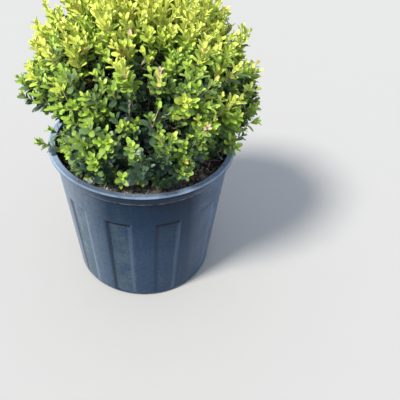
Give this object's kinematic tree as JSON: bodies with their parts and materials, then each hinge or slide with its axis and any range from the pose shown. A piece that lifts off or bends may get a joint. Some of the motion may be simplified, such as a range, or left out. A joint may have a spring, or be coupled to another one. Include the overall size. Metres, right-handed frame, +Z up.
{
  "type": "box topiary ball in a nursery pot",
  "caption": "Small evergreen box shrub clipped to a loose leafy ball, growing in a round tapered plastic nursery pot filled with potting mix.",
  "frame": {"origin": "middle of the flat pad under the pot, on the surface it stands on", "axes": "+Z up through the pot and the ball, -Y towards the front as pictured, +X to the right"},
  "size_m": [0.3306, 0.3173, 0.483],
  "materials": {
    "pot_plastic": "dusty satin, moulded",
    "potting_mix": "damp bark mix",
    "bark": "matt, finely ridged",
    "leaf": "glossy small leaves"
  },
  "bodies": {
    "root": {"pot": "pot_plastic", "soil": "potting_mix", "stem": "bark", "bough_top": "bark", "foliage_top": "leaf", "bough_upper_1": "bark", "foliage_upper_1": "leaf", "bough_upper_2": "bark", "foliage_upper_2": "leaf", "bough_upper_3": "bark", "foliage_upper_3": "leaf", "bough_upper_4": "bark", "foliage_upper_4": "leaf", "bough_lower_1": "bark", "foliage_lower_1": "leaf", "bough_lower_2": "bark", "foliage_lower_2": "leaf", "bough_lower_3": "bark", "foliage_lower_3": "leaf", "bough_lower_4": "bark", "foliage_lower_4": "leaf", "bough_lower_5": "bark", "foliage_lower_5": "leaf", "bough_lower_6": "bark", "foliage_lower_6": "leaf"}
  },
  "joints": []
}
